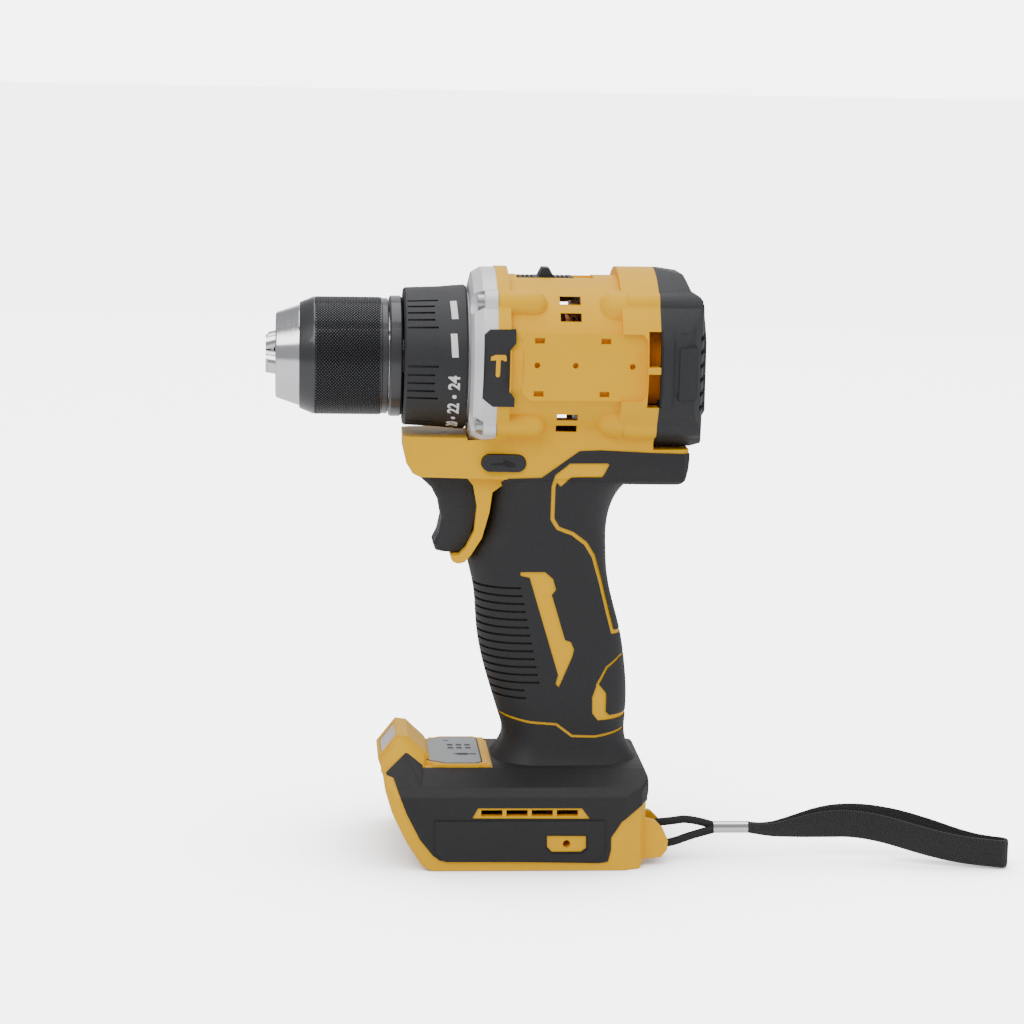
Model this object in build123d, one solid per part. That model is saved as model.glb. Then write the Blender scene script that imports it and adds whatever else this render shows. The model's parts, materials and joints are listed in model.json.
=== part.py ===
from build123d import *
import math
import os

os.makedirs("parts", exist_ok=True)

# ---- driving sizes, mm; +X towards the back cover, +Z up, Y = 0 is the parting plane ----
axis_z = 184.0            # height of the spindle line
wall = 2.6                # moulded wall
skin = 1.7                # soft grip thickness
core_step = 0.45          # the hard shell lies this much below the soft grip
run_gap = 0.06            # radial gap of a turning fit
slide_gap = 0.3           # gap round a sliding piece

barrel_r = 30.5
barrel_x0, barrel_x1 = 2.7, 60.6
foot_half = 37.0
foot_top = 35.0

# gearbox: two equal planet stages
gear_module = 0.8
pressure = math.radians(25)
sun_teeth, planet_teeth, ring_teeth = 12, 15, 42
gear_thin = 0.12          # taken off each tooth for backlash
planet_orbit = gear_module * (sun_teeth + planet_teeth) / 2
ring_outer_r = 20.0
pin_r = 2.0
stage_2 = (3.0, 10.0)
stage_1 = (14.0, 19.0)
carrier_r = 15.5

# chuck
jaw_tilt = math.radians(15)
jaw_r = 4.25
jaw_tip_x = -80.0
jaw_tip_r = 3.6
jaw_length = 23.0
jaw_open = 19.3           # travel of a jaw along its own line
bit_r = 1.5
sleeve_bore = 19.1
sleeve_r = 21.4

# motor
shaft_r = 2.5
bearing_r, bearing_w = 6.5, 4.0
stator_r = 25.5
stator_x = (33.5, 51.5)


def save(name, shape):
    solids = shape.solids()
    body = solids[0] if len(solids) == 1 else Compound(children=list(solids))
    body.label = name
    export_step(body, f"parts/{name}.step")
    print(f"{name:22s} {len(solids):2d} solid(s) {sum(s.volume for s in solids):10.1f} mm3")


# ---- helpers ----
def side(points, y0, y1):
    """Outline in X, Z pulled from y0 to y1."""
    face = make_face(Polyline(*[(x, 0, z) for x, z in points], close=True))
    return Pos(0, y0, 0) * extrude(face, amount=y1 - y0, dir=(0, 1, 0))


def plan(points, z0, z1):
    """Outline in X, Y pulled from z0 to z1."""
    face = make_face(Polyline(*[(x, y, 0) for x, y in points], close=True))
    return Pos(0, 0, z0) * extrude(face, amount=z1 - z0, dir=(0, 0, 1))


def front(points, x0, x1):
    """Outline in Y, Z pulled from x0 to x1."""
    face = make_face(Polyline(*[(0, y, z) for y, z in points], close=True))
    return Pos(x0, 0, 0) * extrude(face, amount=x1 - x0, dir=(1, 0, 0))


def turned(points, z=axis_z):
    """Outline in X, radius turned about the spindle line."""
    face = make_face(Polyline(*[(x, 0, r) for x, r in points], close=True))
    return Pos(0, 0, z) * revolve(face, axis=Axis.X)


def rod(x0, x1, r, y=0.0, z=axis_z):
    return Pos((x0 + x1) / 2, y, z) * Rot(0, 90, 0) * Cylinder(r, x1 - x0)


def cross(x, z, r, y0, y1):
    return Pos(x, (y0 + y1) / 2, z) * Rot(90, 0, 0) * Cylinder(r, y1 - y0)


def block(x0, x1, y0, y1, z0, z1):
    return Pos((x0 + x1) / 2, (y0 + y1) / 2, (z0 + z1) / 2) * Box(x1 - x0, y1 - y0, z1 - z0)


def shrink(points, inset):
    """Outline of points moved inwards, sharp corners kept."""
    if inset == 0:
        return points
    face = make_face(Polyline(*points, close=True))
    small = offset(face, amount=-inset, kind=Kind.INTERSECTION)
    edges = small.face().outer_wire().order_edges()
    points = [edges[0] @ 0]
    for edge in edges:
        a, b = edge @ 0, edge @ 1
        far = b if (a - points[-1]).length < (b - points[-1]).length else a
        points.append(far)
    return [(p.X, p.Y) for p in points[:-1]]


def turn(shape, angle):
    """Shape turned about the spindle line, in degrees."""
    return shape.rotate(Axis((0, 0, axis_z), (1, 0, 0)), angle)


def thirds(shape):
    return [turn(shape, angle) for angle in (0, 120, 240)]


def large(shape, least=30):
    """Only the solids above a volume: slivers of the shell split are dropped."""
    return Compound(children=[s for s in shape.solids() if s.volume > least])


def halves(shape):
    """Left (+Y) and right (-Y) half of a shape."""
    big = 400
    left = block(-big, big, 0, big, -big, big)
    right = block(-big, big, -big, 0, -big, big)
    return shape & left, shape & right


def ribbon_line(points, width):
    """Flat stripe of even width along a line in X, Z, as a prism through the whole part."""
    lines = Polyline(*[(x, z) for x, z in points])
    flat = trace(lines, line_width=width)
    return extrude(Plane.XZ * flat, amount=60, both=True)


# ---- outer form, each as a function of how far the surface is set in ----
handle_rows = [  # z, front x, back x, half width
    (30.0, 1.0, 60.0, 21.0),
    (33.5, 3.4, 59.6, 20.0),
    (36.5, 5.6, 57.5, 18.6),
    (42.5, 8.6, 54.6, 17.2),
    (50.0, 7.2, 54.4, 16.8),
    (58.0, 4.6, 54.7, 17.0),
    (70.4, 0.9, 53.8, 17.2),
    (84.0, -1.6, 51.5, 17.2),
    (98.0, -2.9, 47.7, 17.2),
    (107.0, -5.0, 46.1, 17.2),
    (113.0, -5.6, 45.7, 17.2),
    (120.0, -1.6, 45.5, 17.4),
    (128.0, 1.0, 46.4, 18.0),
    (134.0, 1.6, 48.6, 18.8),
    (140.0, 1.6, 54.0, 19.4),
    (150.0, 1.6, 58.0, 19.6),
]


def handle_form(inset):
    sections = []
    for z, x0, x1, half in handle_rows:
        length = x1 - x0 - 2 * inset
        width = 2 * (half - inset)
        sections.append(Pos((x0 + x1) / 2, 0, z) * RectangleRounded(length, width, width * 0.4))
    return loft(sections)


pedestal_side = [
    (-30.4, 156.7), (-30.2, 150.0), (-29.3, 146.2), (-26.8, 142.4), (-24.0, 141.1), (8.0, 141.0), (30.0, 140.0),
    (58.3, 139.5), (69.5, 139.5), (71.2, 140.2), (72.6, 141.9), (73.7, 145.6), (74.1, 149.0),
    (74.1, 153.5), (60.6, 153.5), (60.6, 166.0), (2.7, 166.0), (2.7, 156.7),
]
pedestal_front = [
    (15.4, 139.4), (17.6, 140.0), (19.4, 141.2), (20.6, 143.2), (21.3, 146.0), (21.5, 149.0), (21.5, 170.0),
]
pedestal_plan = [
    (-31.0, -12.5), (-27.0, -15.0), (-4.0, -17.5), (10.0, -19.2), (60.0, -21.5), (72.0, -20.0),
    (74.5, -17.0), (74.5, 17.0), (72.0, 20.0), (60.0, 21.5), (10.0, 19.2), (-4.0, 17.5),
    (-27.0, 15.0), (-31.0, 12.5),
]


def pedestal_form(inset):
    tall = side(shrink(pedestal_side, inset), -40, 40)
    wide = plan(shrink(pedestal_plan, inset), 120, 180)
    both = pedestal_front + [(-y, z) for y, z in reversed(pedestal_front)]
    return tall & wide & front(shrink(both, inset), -60, 90)


foot_edge_r = 1.8
foot_side = [
    (-37.5, 35.0), (-36.2, 28.6), (-33.8, 21.1), (-28.2, 9.8), (-22.7, 1.4), (-18.6, 0.0),
    (57.9, 0.0), (59.6, 2.0), (60.6, 26.0), (62.0, 30.0), (60.0, 35.0),
]
foot_plan = [
    (-38.0, -30.0), (-31.5, -foot_half), (52.0, -foot_half), (58.0, -34.5), (61.0, -29.0),
    (61.5, -20.0), (61.5, 20.0), (61.0, 29.0), (58.0, 34.5), (52.0, foot_half),
    (-31.5, foot_half), (-38.0, 30.0),
]
foot_front = [
    (-foot_half, 0.0), (-foot_half, 27.5), (-34.5, 30.6), (-22.0, 34.5), (-18.0, 35.0),
    (18.0, 35.0), (22.0, 34.5), (34.5, 30.6), (foot_half, 27.5), (foot_half, 0.0),
]


def foot_form(inset):
    """The underside stays at Z = 0 however far the rest is set in."""
    low_side = [(x, z - inset if z == 0 else z) for x, z in foot_side]
    low_front = [(y, z - inset if z == 0 else z) for y, z in foot_front]
    form = side(shrink(low_side, inset), -60, 60)
    form = form & plan(shrink(foot_plan, inset), -5, 60)
    form = form & front(shrink(low_front, inset), -60, 80)
    if inset > 1:
        return form
    return fillet([e for e in form.edges() if e.bounding_box().min.Z > 0.5], foot_edge_r)


def barrel_bumps():
    out = rod(barrel_x0, 7.2, 33.4)
    out += rod(47.0, barrel_x1, 33.7)
    for sy in (-1, 1):
        for sz in (-1, 1):
            out += rod(3.0, 15.8, 4.7, 21.6 * sy, axis_z + 21.6 * sz)
            out += Pos(15.8, 21.6 * sy, axis_z + 21.6 * sz) * Sphere(4.7)
            out += rod(45.5, barrel_x1, 6.9, 19.6 * sy, axis_z + 19.6 * sz)
            out += Pos(45.5, 19.6 * sy, axis_z + 19.6 * sz) * Sphere(6.9)
    return out


def rear_form(inset):
    """Back cover: one outline seen from the side, one from above, one from behind."""
    back = [
        (60.6, 217.8), (70.6, 215.9), (72.7, 210.1), (75.3, 209.0), (77.6, 205.7), (78.9, 198.4),
        (80.0, 189.2), (79.9, 166.9), (78.1, 164.7), (77.6, 155.3), (74.0, 153.8), (60.6, 153.8),
    ]
    above = [
        (60.6, -33.7), (70.0, -32.6), (73.5, -29.5), (76.5, -25.0), (78.5, -15.0), (80.0, -13.0),
        (80.0, 13.0), (78.5, 15.0), (76.5, 25.0), (73.5, 29.5), (70.0, 32.6), (60.6, 33.7),
    ]
    tall = side(shrink(back, inset), -50, 50)
    wide = plan(shrink(above, inset), 100, 260)
    ring = rod(50, 90, 33.7 - inset)
    for sy in (-1, 1):
        for sz in (-1, 1):
            ring += rod(50, 90, 6.9 - inset, 19.6 * sy, axis_z + 19.6 * sz)
    return tall & wide & ring


# ---- openings and fixings shared by neighbours ----
rear_screw_at = [(sy * 22.0, axis_z + sz * 22.0) for sy in (-1, 1) for sz in (-1, 1)]
case_screw_at = [(sy * 22.0, axis_z + sz * 22.0) for sy in (-1, 1) for sz in (-1, 1)]
shell_screw_at = [(40.0, 127.0), (14.0, 92.0), (36.0, 62.0), (66.0, 146.5), (-24.0, 19.9), (50.0, 19.9)]
shell_screw_head_y = 9.0
screw_hole_r = 1.45
pocket_half = 9.9
trigger_half = 9.4
trigger_travel = 7.0
button_centre = (6.2, 147.5)
button_size = (16.0, 6.2)
slot_floor_z = 212.9

print("shell")
barrel_inner_r = barrel_r - wall
adds, cuts = [], []
adds.append(pedestal_form(core_step))
adds.append(rod(barrel_x0, barrel_x1, barrel_r))
adds.append(barrel_bumps())
adds.append(foot_form(core_step))
guard = [
    (-7.4, 142.0), (-4.4, 138.4), (-2.9, 130.6), (-3.8, 121.3), (-6.8, 115.2), (-9.2, 112.8), (-11.9, 112.4),
    (-12.2, 111.4), (-11.4, 110.2), (-9.6, 109.5), (-7.2, 110.0), (-5.0, 112.6), (-1.0, 119.0), (1.6, 128.5),
    (2.6, 136.0), (10.0, 141.5), (8.0, 143.0), (-7.4, 143.0),
]
guard_half = 14.2
lamp_pod = [(-38.0, 36.0), (-31.0, 45.0), (-27.0, 44.5), (-20.0, 38.0), (-17.0, 33.0), (-36.0, 30.0)]
adds.append(side(guard, -guard_half, guard_half))
adds.append(side(lamp_pod, -13.5, 13.5))
adds.append(block(-18.0, 3.0, -20.5, 20.5, 33.0, 35.4))

hollow = pedestal_form(wall) + rod(barrel_x0 - 0.5, barrel_x1 + 1, barrel_inner_r)
hollow -= block(-40, 2.7, -40, 40, 150, 170)
foot_hollow = foot_form(wall + 1.0) & block(-30, 56, -40, 40, 16.5, 60)
body = handle_form(core_step) + adds
body = body - [hollow, foot_hollow, handle_form(wall + 1.2), rod(-31.0, barrel_x0 - 0.05, 27.3)]

# ribs that hold the gearbox and motor, screw bosses, the flat panel on each side, the strap lug
inner = []
for x0, x1, r in ((14.0, 16.0, 22.5), (35.0, 37.0, stator_r), (48.0, 50.0, stator_r)):
    inner.append(rod(x0, x1, barrel_inner_r + 0.5) - rod(x0 - 1, x1 + 1, r))
for x, z in shell_screw_at[:4]:
    reach = 18.6 if x > 60 else 14.5
    inner.append(cross(x, z, 3.6, -reach, reach))
for x, z in shell_screw_at[4:]:
    inner.append(cross(x, z, 3.6, -30, 30))
for y, z in rear_screw_at:
    inner.append(rod(49.0, barrel_x1, 4.2, y, z) - rod(40, 70, 26.0))
panel_side = [
    (11.4, 193.8), (13.9, 196.0), (54.3, 196.0), (56.0, 193.8), (56.0, 173.8), (54.4, 171.8),
    (14.3, 171.8), (11.4, 174.2),
]
panel_y = 29.6
for sy in (-1, 1):
    y0, y1 = sorted((sy * 26.4, sy * panel_y))
    inner.append(side(panel_side, y0, y1))
    y0, y1 = sorted((sy * panel_y, sy * 34))
    cuts.append(side(panel_side, y0, y1))
    y0, y1 = sorted((sy * 27, sy * 34))
    for x, z in ((17.5, 193.2), (41.2, 193.2), (17.4, 174.2), (41.0, 174.2)):
        cuts.append(block(x - 1.75, x + 1.75, y0, y1, z - 1.0, z + 1.0))
    for x, z in ((16.7, 184.4), (30.5, 184.4), (50.9, 184.2)):
        cuts.append(cross(x, z, 1.05, y0, y1))
lug_side = [(56.0, 18.2), (63.5, 16.7), (66.6, 13.6), (68.5, 9.4), (68.3, 5.6), (66.1, 2.9), (56.0, 1.8)]
lug_out, lug_in, cheek = -30.0, -14.0, 2.6
bar_x, bar_z, bar_r = 65.6, 9.6, 2.0
inner.append(side(lug_side, lug_out, lug_out + cheek))
inner.append(side(lug_side, lug_in - cheek, lug_in))
body = body + inner

print("openings")
vents = [
    (25.1, 32.7, 205.2, 208.1), (25.1, 32.7, 199.6, 202.6),
    (24.7, 32.3, 163.8, 166.2), (24.7, 32.3, 159.2, 161.7),
]
for x0, x1, z0, z1 in vents:
    cuts.append(block(x0, x1, -40, 40, z0, z1))
rear_vents = []
for sy in (-1, 1):
    y0, y1 = sorted((sy * 24, sy * 40))
    rear_vents.append(block(56.3, 62.0, y0, y1, 169.6, 182.0))
    rear_vents.append(block(56.3, 62.0, y0, y1, 184.4, 197.0))
cuts += rear_vents
bay_half, bay_top = 27.0, 14.0
lip_half, lip_top = 23.5, 4.0
cuts.append(block(-60, 46, -bay_half, bay_half, lip_top, bay_top))
cuts.append(block(-60, 46, -lip_half, lip_half, -1, lip_top + 1))
cuts.append(block(28.2, 32.6, 18, 50, 8.0, 12.0))
cuts.append(cross(30.4, 10.0, 1.4, -50, -bay_half - 1))
for x in (-1.0, 8.2, 17.4, 26.6):
    cuts.append(block(x, x + 7.8, -50, 50, 20.4, 22.8))

trigger_pocket = block(-30, 7.6, -pocket_half, pocket_half, 112.6, 141.1)
cuts.append(trigger_pocket)
bx, bz = button_centre
long, tall = button_size


def pill(grow, y0, y1):
    half = tall / 2 + grow
    reach = (long - tall) / 2
    out = block(bx - reach, bx + reach, y0, y1, bz - half, bz + half)
    return out + [cross(bx - reach, bz, half, y0, y1), cross(bx + reach, bz, half, y0, y1)]


cuts.append(pill(0.2, -40, 40))
cuts.append(block(10.5, 38.5, -6.8, 6.8, slot_floor_z, 230))
for y, z in rear_screw_at:
    cuts.append(rod(49.0, barrel_x1 + 5, screw_hole_r, y, z))
for y, z in case_screw_at:
    cuts.append(rod(-2, 16, screw_hole_r, y, z))
for x, z in shell_screw_at:
    cuts.append(cross(x, z, screw_hole_r, -12, 30))
    cuts.append(cross(x, z, 3.3, shell_screw_head_y, 60))
plate_side = [
    (-2.4, 195.4), (-0.3, 197.2), (8.9, 197.3), (9.0, 192.4), (6.9, 189.8), (6.8, 175.2), (8.7, 172.7),
    (8.7, 169.6), (0.9, 169.6), (-2.8, 172.6),
]
plate_wells = [side(plate_side, 29.0, 40), side(plate_side, -40, -29.0)]
cuts += plate_wells
cuts.append(block(barrel_x1, 90, -50, 50, 153.5, 230))
cuts.append(block(60.9, 75, lug_out + cheek, lug_in - cheek, -5, 30))
cuts.append(cross(bar_x, bar_z, bar_r, lug_out + 0.8, lug_in - 0.8))

# room for the gear case's flange in the beak, and a window for the terminal block
flange_x0, flange_r = -6.7, 33.0
cuts.append(rod(flange_x0 - 0.3, barrel_x0, flange_r + 0.1))
terminal_box = (-8.0, 24.0, -18.0, 18.0)
cuts.append(block(*terminal_box, bay_top - 0.5, 16.6))

# seats of the lamp and the indicator panel
lamp_gap, lens_half, board_half = 0.15, 10.0, 9.0
lens = side([(-36.6, 37.2), (-31.4, 43.9), (-29.4, 42.4), (-34.6, 35.7)], -lens_half, lens_half)
lens_way = shrink([(-39.8, 39.6), (-34.6, 46.3), (-29.4, 42.4), (-34.6, 35.7)], -lamp_gap)
cuts.append(side(lens_way, -lens_half - lamp_gap, lens_half + lamp_gap))
board = side([(-34.3, 35.4), (-29.1, 42.1), (-27.9, 41.2), (-33.1, 34.5)], -board_half, board_half)
board_way = shrink([(-34.6, 35.7), (-29.4, 42.4), (-27.9, 41.2), (-33.1, 34.5)], -lamp_gap)
cuts.append(side(board_way, -board_half - lamp_gap, board_half + lamp_gap))
indicator = block(-15.6, 0.2, -18.5, 18.5, 33.6, 35.6)
cuts += [indicator, block(-13, -2.5, -14, 14, 30, 34)]
body = body - cuts

print("soft grip")
grip_region = side([
    (1.9, 136.6), (8.0, 141.8), (20.0, 142.3), (33.6, 152.3), (41.3, 152.7), (80.0, 151.2), (80.0, 34.0),
    (3.0, 34.0), (-10.0, 60.0), (-12.0, 104.0), (-9.0, 109.0), (-5.0, 111.0), (-1.0, 119.5), (1.4, 129.5),
], -60, 60)
line_w = 1.5
rear_line = [
    (44.0, 147.2), (30.5, 147.0), (25.6, 143.0), (24.4, 139.0), (24.4, 126.8), (26.6, 123.4), (32.0, 121.4),
    (37.0, 117.6), (40.2, 112.4), (43.1, 103.0), (46.2, 91.0), (48.2, 83.8), (60.0, 82.0),
]
low_line = [(-5.0, 52.0), (7.9, 52.2), (17.9, 50.5), (27.6, 49.8), (33.5, 45.4), (42.0, 45.2), (60.0, 47.5)]
corner_line = [(60.0, 75.4), (51.2, 74.4), (46.0, 71.2), (42.2, 64.4)]
slash = [
    (13.2, 107.1), (22.2, 107.1), (25.2, 104.6), (26.4, 100.4), (24.9, 98.5), (30.1, 81.7), (32.3, 81.0),
    (33.5, 78.0), (33.0, 75.6), (28.2, 63.8), (26.9, 65.2), (27.8, 68.6), (16.6, 104.9), (13.2, 105.6),
]
tick = [(30.0, 147.7), (44.6, 147.7), (42.0, 142.6), (31.0, 142.6), (27.0, 139.0), (25.4, 141.0)]
wedge = [(42.4, 65.5), (40.6, 60.0), (40.8, 54.0), (43.0, 51.2), (60.0, 51.4), (60.0, 53.0), (47.4, 53.0),
         (46.0, 54.4), (46.0, 61.4), (43.4, 64.6)]
lines = [side(slash, -60, 60), side(tick, -60, 60), side(wedge, -60, 60)]
lines += [ribbon_line(rear_line, line_w), ribbon_line(low_line, 1.0), ribbon_line(corner_line, 1.0)]
grooves = []
for i in range(15):
    z = 101.5 - 2.95 * i
    x_end = 13.5 + 0.62 * i - (6.0 if i > 12 else 0)
    grooves.append(side([(-10, z - 0.42), (x_end, z - 0.82), (x_end, z - 0.02), (-10, z + 0.42)], -60, 60))
screw_wells = [cross(x, z, 3.3, shell_screw_head_y, 60) for x, z in shell_screw_at]
inner_skin = handle_form(skin) + pedestal_form(skin)
grip = (handle_form(0) + pedestal_form(0)) - inner_skin
grip = grip & (grip_region - lines)
groove_cut = Compound(children=grooves) - handle_form(0.9)
grip = grip - [foot_form(0), rod(barrel_x0, barrel_x1 + 20, barrel_r + 0.02), trigger_pocket, groove_cut] - screw_wells
grip = grip - pill(0.2, -40, 40)

print("foot covers")
cover_region = side([
    (-38.5, 37.3), (-35.0, 37.3), (-31.6, 30.6), (-27.9, 21.2), (-23.1, 11.8), (-18.3, 5.8), (-15.7, 3.9),
    (42.8, 2.8), (45.7, 3.4), (46.7, 7.8), (46.6, 12.3), (50.5, 18.4), (58.7, 24.4), (70.0, 26.0), (70.0, 40.0),
    (-38.5, 40.0),
], -60, 60)
cover_region -= block(-60, 4.0, -21.0, 21.0, 20, 60)
vent_side = [(-4.3, 19.7), (-2.2, 23.6), (35.7, 23.5), (38.7, 19.5)]
badge_side = [(23.1, 13.2), (37.4, 13.1), (37.5, 8.6), (35.7, 7.1), (25.1, 7.1), (23.2, 9.0)]
cover = (foot_form(0) - foot_form(skin)) & cover_region
cover = cover - [handle_form(skin - 0.02), side(vent_side, -60, 60), side(badge_side, -60, 60)] - screw_wells

# the hard shell gives way to the soft pieces
grip, cover = large(grip, 1), large(cover, 1)
shell = body - [grip, cover]

for name, form in (("housing", shell), ("grip", grip), ("foot_cover", cover)):
    left, right = halves(form)
    save(f"{name}_left", large(left))
    save(f"{name}_right", large(right))
save("lamp_lens", lens)
save("lamp_board", board)
save("indicator_panel", indicator)


# ---- back cover and its screws ----
print("back cover")
boss_r = 9.0
rear_hollow = rear_form(wall) & block(50, 77.4, -60, 60, 100, 260)
rear_cover = rear_form(0) - rear_hollow - rod(50, 62, 27.0)
rear_cover = rear_cover + rod(58.6, 78.0, boss_r)
rear_cover = rear_cover + [rod(barrel_x1, 71.0, 4.0, y, z) for y, z in rear_screw_at]
rear_cover = rear_cover & rear_form(0)
pad = block(78.0, 80.0, -11.0, 11.0, 171.0, 191.0)
rear_cover = rear_cover + rod(58.6, 61, boss_r)
rear_cuts = [rod(50, 63.0, bearing_r), rod(62.5, 66.5, shaft_r + 0.6)]
rear_cuts += [rod(50, 90, screw_hole_r, y, z) for y, z in rear_screw_at]
rear_cuts += [rod(68.5, 90, 3.4, y, z) for y, z in rear_screw_at]
rear_cuts += rear_vents
rear_cuts += [block(78.9, 82, sy * 12.4 - 1.0, sy * 12.4 + 1.0, 165, 197) for sy in (-1, 1)]
rear_cuts += [block(74.0, 84, sy * 20 - 6.0, sy * 20 + 6.0, 178 + 5 * k, 180 + 5 * k)
              for sy in (-1, 1) for k in range(-2, 4)]
rear_cover = large(rear_cover - rear_cuts)
save("rear_cover", rear_cover)


def screw(x0, x1, y, z, head_r=2.9, head=2.4, r=screw_hole_r - 0.05):
    """Screw along X: head at x1, tip at x0, hexalobular recess shown as a plain hex."""
    toward = 1 if x1 > x0 else -1
    a, b = sorted((x0, x1))
    body = rod(a, b, r, y, z)
    h0, h1 = sorted((x1, x1 + toward * head))
    body += rod(h0, h1, head_r, y, z)
    socket = extrude(Plane.YZ * RegularPolygon(1.5, 6), amount=1.4)
    depth_x = x1 + toward * head - (1.4 if toward > 0 else 0)
    return body - Pos(depth_x, y, z) * socket


save("rear_cover_screws", Compound(children=[screw(50.0, 68.5, y, z).solid() for y, z in rear_screw_at]))

print("gear case")
nose_r, nose_bore = 13.5, 9.0
nose_x = -27.0
case_r = 22.5
case_end = 20.5
flange_x1 = barrel_x0 - 0.02
case_seat_x = -1.9
flange = turned([
    (flange_x0, 0), (flange_x0, 27.0), (-5.7, 31.0), (-2.4, flange_r), (flange_x1, flange_r), (flange_x1, 0),
])
for y, z in case_screw_at:
    flange += rod(case_seat_x, flange_x1, 4.6, y, z)
gear_case = flange + rod(nose_x, 0, nose_r) + rod(0, case_end, case_r)
gear_case = gear_case + [rod(-12.0, flange_x0 + 1, 23.4), rod(0, 6.0, barrel_inner_r - 0.9)]
gear_case = gear_case - [
    rod(-30, -13.0, nose_bore), rod(-14, 0, 7.0), rod(-1.6, 30, ring_outer_r),
    rod(-13, -7.5, 22.0) - rod(-14, 0, nose_r + 0.01),
]
gear_case = gear_case - [rod(-8, 8, screw_hole_r, y, z) for y, z in case_screw_at]
gear_case = gear_case - [rod(-9, case_seat_x, 4.3, y, z) for y, z in case_screw_at] - plate_wells
save("gear_case", large(gear_case))
save("gear_case_screws", Compound(children=[screw(15.0, case_seat_x, y, z, 2.9, 2.6).solid() for y, z in case_screw_at]))


def side_screw(x, z):
    body = cross(x, z, screw_hole_r - 0.05, -11.5, shell_screw_head_y)
    body += cross(x, z, 3.0, shell_screw_head_y, shell_screw_head_y + 2.4)
    return (body - block(x - 0.5, x + 0.5, shell_screw_head_y + 1.2, 20, z - 2.2, z + 2.2)).solid()


save("housing_screws", Compound(children=[side_screw(x, z) for x, z in shell_screw_at]))

print("gears")


def gear_outline(teeth, tip_r, root_r, thin, steps=5):
    """Involute outline; a tooth points at +Z. thin > 0 narrows each tooth, < 0 widens it."""
    pitch_r = gear_module * teeth / 2
    base_r = pitch_r * math.cos(pressure)
    half = math.pi / (2 * teeth) - thin / (2 * pitch_r)
    inv_pressure = math.tan(pressure) - pressure

    def flank_angle(r):
        a = math.acos(min(1.0, base_r / r))
        return half + inv_pressure - (math.tan(a) - a)

    low = max(root_r, base_r)
    radii = [low + (tip_r - low) * k / steps for k in range(steps + 1)]
    tooth = []
    if root_r < base_r:
        tooth.append((root_r, -flank_angle(low)))
    tooth += [(r, -flank_angle(r)) for r in radii]
    tooth += [(r, a * -1) for r, a in reversed(tooth)]
    points = []
    for k in range(teeth):
        turn_by = 2 * math.pi * k / teeth
        points += [(r * math.sin(a + turn_by), r * math.cos(a + turn_by)) for r, a in tooth]
    return points


def gear_solid(teeth, x0, x1, addendum=0.85, dedendum=1.15, thin=gear_thin):
    pitch_r = gear_module * teeth / 2
    outline = gear_outline(teeth, pitch_r + addendum * gear_module, pitch_r - dedendum * gear_module, thin)
    return Pos(0, 0, axis_z) * front(outline, x0, x1)


def ring_gear(x0, x1):
    pitch_r = gear_module * ring_teeth / 2
    outline = gear_outline(ring_teeth, pitch_r + 1.15 * gear_module, pitch_r - 0.85 * gear_module, -gear_thin)
    return rod(x0, x1, ring_outer_r) - Pos(0, 0, axis_z) * front(outline, x0 - 1, x1 + 1)


def planet(angle, x0, x1):
    gear = gear_solid(planet_teeth, x0, x1) - rod(x0 - 1, x1 + 1, pin_r + run_gap)
    return turn(Pos(0, 0, planet_orbit) * gear, angle)


save("ring_gear_2", ring_gear(*stage_2))
save("ring_gear_1", ring_gear(*stage_1))
for letter, angle in zip("abc", (0, 120, 240)):
    save(f"planet_2{letter}", planet(angle, *stage_2))
    save(f"planet_1{letter}", planet(angle, *stage_1))


def carrier(x0, x1, pin_end):
    plate = rod(x0, x1, carrier_r)
    return plate + thirds(rod(x1 - 0.5, pin_end, pin_r, 0, axis_z + planet_orbit))


spindle_r = 6.0
spindle_end = -46.0
spindle = carrier(-0.3, 2.5, 10.2) + rod(spindle_end, 0, spindle_r)
spindle = spindle - rod(spindle_end - 1, -34.0, 3.0)
save("spindle", spindle)
carrier_1 = carrier(10.8, 13.5, 19.2) + gear_solid(sun_teeth, 3.2, 11.0)
save("carrier_1", carrier_1)
save("spindle_bearing", rod(-26.4, -13.0, nose_bore) - rod(-27, -12, spindle_r + run_gap))

print("clutch")
collar_x0, collar_x1 = -30.3, -7.5
collar = turned([
    (collar_x0, 0), (collar_x0, 24.5), (-29.6, 25.1), (-17.6, 25.6), (-8.3, 26.4), (collar_x1, 25.8), (collar_x1, 0),
])
collar = collar - [
    rod(-40, -27.3, 16.0), rod(-27.8, -12.2, 22.6), rod(-12.4, 0, 23.4 + run_gap),
]
flutes = []
for group in range(6):
    for k in range(-2, 3):
        groove = block(-29.2, -19.4 + 1.2 * (abs(k) == 2), -0.4, 0.4, axis_z + 24.65, axis_z + 26)
        flutes.append(turn(groove, group * 60 + 46 + k * 7.0))
collar = collar - flutes
nut_hoop = rod(-25.4, -23.4, 22.8) - rod(-26, -23, nose_r + 0.5)
save("clutch_collar", collar + nut_hoop)
coil = Helix(pitch=3.6, height=10.4, radius=17.8)
wire = sweep(Plane(origin=coil @ 0, z_dir=coil % 0) * Circle(1.25), path=coil)
spring = Pos(-21.6, 0, axis_z) * Rot(0, 90, 0) * wire
save("clutch_spring", spring)

print("chuck")
cos_t, sin_t, tan_t = math.cos(jaw_tilt), math.sin(jaw_tilt), math.tan(jaw_tilt)


def jaw_rod(start, end, r):
    """Rod on the line of the first jaw, between two distances from the tip plane."""
    height = end - start
    mid = (start + end) / 2
    centre = Pos(jaw_tip_x + mid * cos_t, 0, axis_z + jaw_tip_r + mid * sin_t)
    return centre * Rot(0, 90 - math.degrees(jaw_tilt), 0) * Cylinder(r, height)


def jaw_outer(x):
    return jaw_tip_r + (x - jaw_tip_x) * tan_t + jaw_r / cos_t


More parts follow.
